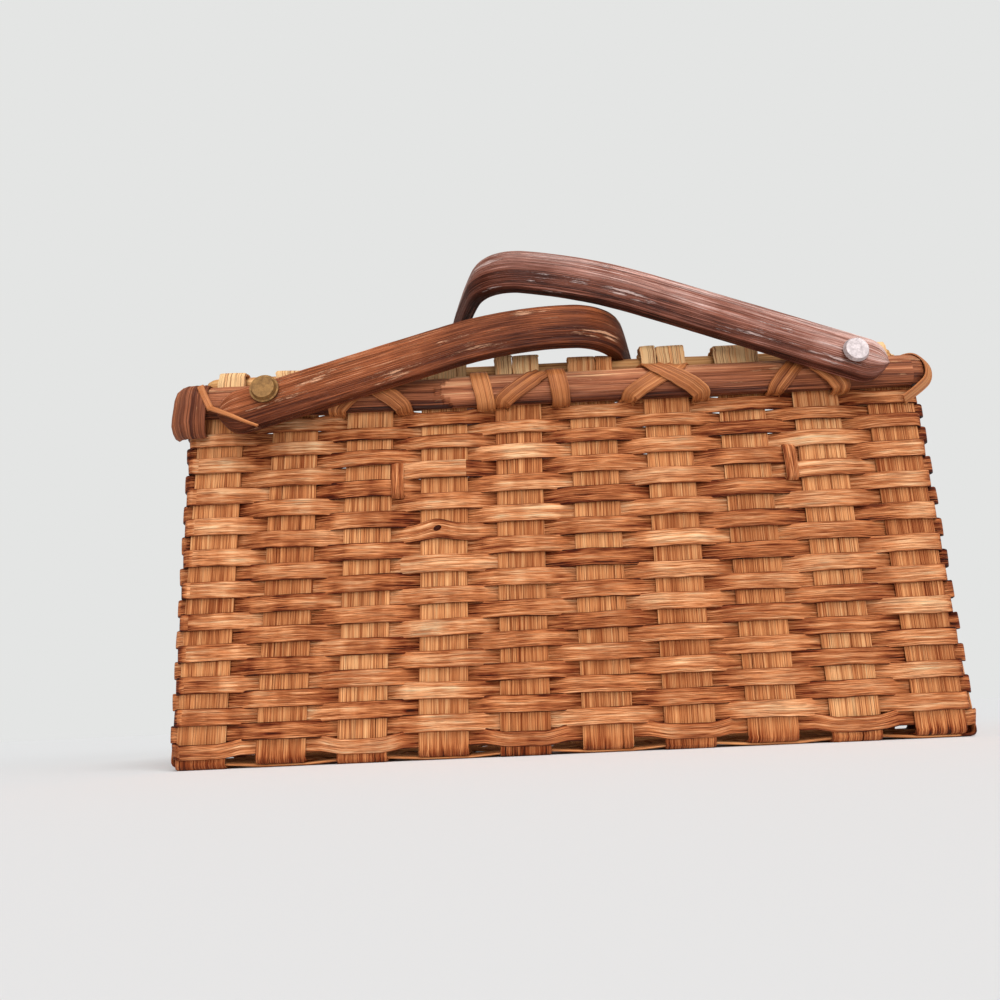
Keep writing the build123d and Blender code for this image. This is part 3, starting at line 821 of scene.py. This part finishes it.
def corner_cover(stations, x_start, reach, thickness):
    """A wide splint folded round the left front corner of the rim. Its stations are a distance out
    and a height, and its reach is how far it goes round from where it starts on the front wall."""
    hub_x, hub_y = -(end_plane + inner_face - rim_corner), -(rim_depth + inner_face - rim_corner)
    steps = 12
    bend_radius = 11.4
    sections = []
    for k, (off, z) in enumerate(stations):
        before, after = stations[max(k - 1, 0)], stations[min(k + 1, len(stations) - 1)]
        tilt = Vector((after[0] - before[0], after[1] - before[1])).normalized()
        section = []
        for depth, order in ((0.5, range(steps + 1)), (-0.5, range(steps, -1, -1))):
            for m in order:
                s = (reach + 0.7 * wander(k * 0.9, 2)) * m / steps
                turn = max(0.0, (s - (x_start - hub_x)) / bend_radius)
                way = Vector((-math.sin(turn), -math.cos(turn), 0))
                edge = 0.35 if m in (0, steps) else 1.0
                ripple = 0.12 * wander(m * 1.9, 8)
                spot = Vector((max(hub_x, x_start - s), hub_y, z)) + way * (rim_corner + off)
                across = Vector((0, 0, tilt.x)) - way * tilt.y
                section.append(spot + across * (thickness * depth * edge + ripple))
        sections.append(section)
    return sections


turns = []
for low, high, layer in ((-103.5, -87.0, 1), (-71.0, -92.0, 2), (38.0, 62.0, 1), (72.0, 50.0, 2),
                         (108.0, 120.5, 1), (139.0, 123.0, 2)):
    turns.append(front_turn(low, high, layer))
turns += [front_turn(-31.5, -34.5, 2, 8.8), front_turn(-23.5, -3.0, 1, 8.6), front_turn(4.8, 2.8, 2, 8.8)]
strips = [(turn, True, 0.12 * wander(k * 1.9, 4) - 0.04) for k, turn in enumerate(turns)]
right_curl = loose_end([(173.0, -108.0, 178.0), (175.2, -110.4, 179.4), (179.6, -114.8, 178.6),
                        (182.6, -117.6, 172.0), (181.6, -118.2, 164.5), (177.0, -117.4, 160.2),
                        (169.0, -115.6, 154.8)], (176.5, -111.5, 169.0), 7.4, 6.0)
left_cover = corner_cover([(-2.0, 178.4), (1.0, 179.0), (4.4, 178.2), (6.4, 175.6), (7.3, 171.5),
                           (7.6, 167.0), (7.7, 162.5), (7.6, 158.5), (6.8, 155.0), (5.4, 152.6),
                           (3.9, 151.8), (3.1, 152.8)], -166.0, 19.0, 1.1)
left_curl = loose_end([(-169.5, -121.2, 177.0), (-166.0, -121.5, 169.6), (-163.4, -121.7, 164.6),
                       (-161.4, -126.6, 162.0), (-159.8, -132.0, 160.6), (-155.0, -132.7, 158.4),
                       (-148.5, -132.7, 155.6), (-142.3, -132.7, 152.6), (-136.3, -132.6, 150.2)],
                      (-158.0, -110.0, 150.0), 3.4, 1.2)
strips += [(right_curl, False, 0.1), (left_cover, False, -0.22, outer_rim_wood), (left_curl, False, 0.0)]
skin("front_winding", strips, lashing_wood, "basket", "lashing_splint", "front_lashing")

turns = []
for stake in (2, 4, 6, 8):
    x = cross_places[stake]
    turns += [front_turn(x - 16.0, x + 5.0, 1), front_turn(x + 16.0, x - 6.0, 2)]
turns = [[[Vector((-p.x, -p.y, p.z)) for p in section] for section in turn] for turn in turns]
skin("back_winding", [(turn, True, 0.08 * wander(k * 1.9, 5)) for k, turn in enumerate(turns)], lashing_wood,
     "basket", "lashing_splint", "back_lashing")
for name, sign in (("right", 1), ("left", -1)):
    turns = []
    for stake in (1, 3):
        y = sign * fan(stake, rim_middle)
        for low, high, layer in ((y - 16.5, y + 5.0, 1), (y + 16.5, y - 6.0, 2)):
            turns.append(winding(low, high, layer, 8.4, Vector((sign * (end_plane + inner_face), 0, 0)),
                                 Vector((0, sign, 0)), Vector((sign, 0, 0))))
    skin(f"{name}_winding", [(turn, True, 0.08 * wander(k * 1.9, 6)) for k, turn in enumerate(turns)],
         lashing_wood, "basket", "lashing_splint", f"{name}_lashing")

# Splint ties: two short mends, each a narrow splint bent over a pair of weavers and tucked in
# behind them.
tie_level = (row_height(4) + row_height(5)) / 2
for name, x in (("left_tie", -75.2), ("right_tie", 111.7)):
    wall = -half_depth(tie_level)
    line = rounded([(0, wall - 0.2, tie_level - 8.6), (0, wall - 2.2, tie_level - 7.4),
                    (0, wall - 2.5, tie_level),
                    (0, wall - 2.2, tie_level + 7.4), (0, wall - 0.2, tie_level + 8.6)], 1.5, 4)
    sections = []
    for k, point in enumerate(line):
        step = heading(line, k)
        out = Vector((0, -step.z, step.y)).normalized()
        centre = Vector((x, point.y, point.z))
        sections.append(splint_section(centre, Vector((1, 0, 0)), out, 6.0, 0.8, 0.25))
    skin(f"{name}_splint", [(sections, False, -0.12)], weaver_wood, "basket", "lashing_splint", name)

# Handles: two bows, each one ash splint steamed and bent to two arms and a grip, and shaved by hand
# to a ridged section. Dark reddish brown, cracked along the grain, worn pale on the ridges, with a
# painted sheen on the upper faces and painted shade on the lower ones.
handle_width = 21.5
handle_thickness = 8.5
rim_thickness = 6.3
lashing_room = 2.2
running_gap = 0.3
grip_corner = 72
grip_radius = 26.0
fine_end = 12
arm_plane = rim_depth + inner_face + rim_thickness + lashing_room + running_gap + handle_thickness / 2
handle_outline = [(-0.5, -0.42), (-0.44, -0.5), (0.0, -0.5), (0.22, -0.48), (0.34, -0.38), (0.5, -0.13),
                  (0.48, -0.06), (0.38, 0.18), (0.28, 0.41), (0.18, 0.49), (0.0, 0.5), (-0.44, 0.5),
                  (-0.5, 0.43), (-0.5, 0.0)]
# At each point round a handle: how rubbed it is, with the rub along the top edge partly a painted
# sheen, and how much lighter or darker than the rest: a painted sheen on the upper face and painted
# shade on the lower one.
handle_wear_and_sheen = [0, 0, 0, 0.2, 0.1, 0.8, 0.6, 0.3, 0.9, 1.0, 0.3, 0, 0, 0]
face_painted_light = [-0.1, -0.2, -0.24, -0.16, -0.14, -0.06, 0.1, 0.12, 0.2, 0.2, 0.1, 0, 0, 0]


def bow_line(side, pivot_x, pivot_z, offset, angle, straight, droop, droop_length, tail):
    """Points along a whole handle from tail to tail, each with its lengthwise and its height direction."""
    slope = math.radians(angle)
    along = Vector((side * math.cos(slope), 0, math.sin(slope)))
    up = Vector((-side * math.sin(slope), 0, math.cos(slope)))
    here = Vector((pivot_x, -arm_plane, pivot_z)) - along * tail - up * offset
    line = []
    for k in range(12):
        line.append((here + along * fine_end * (1 - math.cos(math.pi * k / 24)), along.copy(), up.copy()))
    arm = tail + straight - fine_end
    steps = round(arm / 2)
    for k in range(steps):
        line.append((here + along * (fine_end + arm * k / steps), along.copy(), up.copy()))
    here = here + along * (tail + straight)
    bend = math.radians(droop)
    radius = droop_length / bend
    hub = here - up * radius
    for k in range(30):
        turn = bend * k / 30
        rising = up * math.cos(turn) + along * math.sin(turn)
        line.append((hub + rising * radius, along * math.cos(turn) - up * math.sin(turn), rising))
    here = hub + (up * math.cos(bend) + along * math.sin(bend)) * radius
    along, up = along * math.cos(bend) - up * math.sin(bend), up * math.cos(bend) + along * math.sin(bend)
    inward = Vector((0, 1, 0))
    corner, tight = math.radians(grip_corner), grip_radius
    for k in range(24):
        turn = corner * k / 24
        line.append((here + along * tight * math.sin(turn) + inward * tight * (1 - math.cos(turn)),
                     along * math.cos(turn) + inward * math.sin(turn), up.copy()))
    here = here + along * tight * math.sin(corner) + inward * tight * (1 - math.cos(corner))
    ahead = along * math.cos(corner) + inward * math.sin(corner)
    across = inward * math.cos(corner) - along * math.sin(corner)
    bow = math.radians(90) - corner
    wide = -here.y / (math.sin(bow) * ahead.y + (1 - math.cos(bow)) * across.y)
    for k in range(41):
        turn = bow * k / 40
        line.append((here + ahead * wide * math.sin(turn) + across * wide * (1 - math.cos(turn)),
                     ahead * math.cos(turn) + across * math.sin(turn), up.copy()))
    mirrored = [(Vector((p.x, -p.y, p.z)), Vector((-t.x, t.y, -t.z)), u) for p, t, u in reversed(line[:-1])]
    return line + mirrored


def handle(name, side, seed, finish, painted_light_contrast, **shape):
    """One bow, with rounded tails, hand-shaved faces, a painted sheen on its upper face and painted shade on
    its lower one.
    """
    line = bow_line(side, **shape)
    travelled = [0.0]
    for before, after in zip(line, line[1:]):
        travelled.append(travelled[-1] + (after[0] - before[0]).length)
    total = travelled[-1]
    sections, tones = [], []
    radius = handle_width / 2
    for k, (point, along, up) in enumerate(line):
        out = (along.cross(up) * side).normalized()
        far = travelled[k]
        from_end = min(far, total - far)
        trim = math.sqrt(max(0.03, 1 - (1 - min(1.0, from_end / radius)) ** 2))
        section = []
        for t, h in handle_outline:
            rough = 0.3 * wander(0.07 * far + 3 * h + 2 * t, seed)
            rough += 0.14 * wander(0.33 * far + 5 * h, seed + 3)
            section.append(point + out * t * (handle_thickness - 0.4 + 0.3 * rough)
                           + up * h * (handle_width - 0.6 + 0.5 * rough) * trim)
        sections.append(section)
        here = 0.16 * wander(0.02 * far, seed + 7) + 0.05 * wander(0.2 * far, seed)
        # Painted sheen on the upper face and painted shade on the lower one, stronger on the right bow.
        tones.append([here + light * painted_light_contrast for light in face_painted_light])
    bow = name.replace("handle", "bow")
    skin(bow, [(sections, False, tones)], finish, name, f"{name}_wood", name, sharp=16, wear=handle_wear_and_sheen)


handle_grain = {"fibre_width": 0.00045, "fibre_length": 0.03, "pore_width": 0.0006, "band_width": 0.003,
                "stain_size": 0.04, "pores": 0.45, "stains": 0.35, "rough": 0.36, "relief": 0.9,
                "shine": 0.15}
left_wood = wood("left_handle_wood", shade(184, 104, 62), shade(128, 64, 34), shade(62, 20, 6),
                 rubbed=shade(236, 176, 138), fibres=0.65, bands=0.35, coat=0.04, scuffs=0.8, **handle_grain)
# The right bow's pale and rubbed colours are whitish pink: rubbed wood, and partly a painted sheen on its
# upper face.
right_wood = wood("right_handle_wood", shade(216, 166, 152), shade(148, 86, 66), shade(70, 26, 12),
                  rubbed=shade(244, 216, 208), fibres=0.7, bands=0.4, coat=0.06, scuffs=0.6, **handle_grain)
handle("left_handle", 1, 1, left_wood, 0.8, pivot_x=-134.7, pivot_z=169.15, offset=5.0, angle=16.2,
       straight=88.0, droop=17.0, droop_length=61.0, tail=24.0)
handle("right_handle", -1, 2, right_wood, 1.4, pivot_x=142.3, pivot_z=174.15, offset=0.0, angle=22.2,
       straight=100.0, droop=14.0, droop_length=63.0, tail=16.4)

# Rivets: a pair of brass ones with washers for the left handle and a pair of bright ones for the
# right. Each is a turned shank with a flat disc head, peened over inside the basket. Dulled and pitted.


def metal(name, clear, dull, rough, metallic):
    """Metal with duller pits where it has tarnished."""
    finish = bpy.data.materials.new(name)
    finish.use_nodes = True
    tree = finish.node_tree
    shader = tree.nodes["Principled BSDF"]
    place = add(tree, "ShaderNodeTexCoord")
    spots = noise(tree, place.outputs["Object"], 520.0, 6.0, 0.7)
    mask = remap(tree, spots, 0.38, 0.66)
    tree.links.new(blend(tree, mask, clear, dull), shader.inputs["Base Color"])
    tree.links.new(remap(tree, mask, 0.0, 1.0, rough, rough + 0.25), shader.inputs["Roughness"])
    shader.inputs["Metallic"].default_value = metallic
    dent = add(tree, "ShaderNodeBump", {"Height": spots, "Strength": 0.5, "Distance": 0.0004})
    tree.links.new(dent.outputs[0], shader.inputs["Normal"])
    return finish


brass = metal("old_brass", shade(150, 110, 60), shade(116, 82, 44), 0.42, 0.5)
silver = metal("worn_silver", shade(210, 198, 198), shade(170, 158, 158), 0.42, 0.4)
for node, finish in (("left_rivets", brass), ("left_washers", brass), ("right_rivets", silver)):
    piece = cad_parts[node]
    piece.data.materials.clear()
    piece.data.materials.append(finish)

low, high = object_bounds()
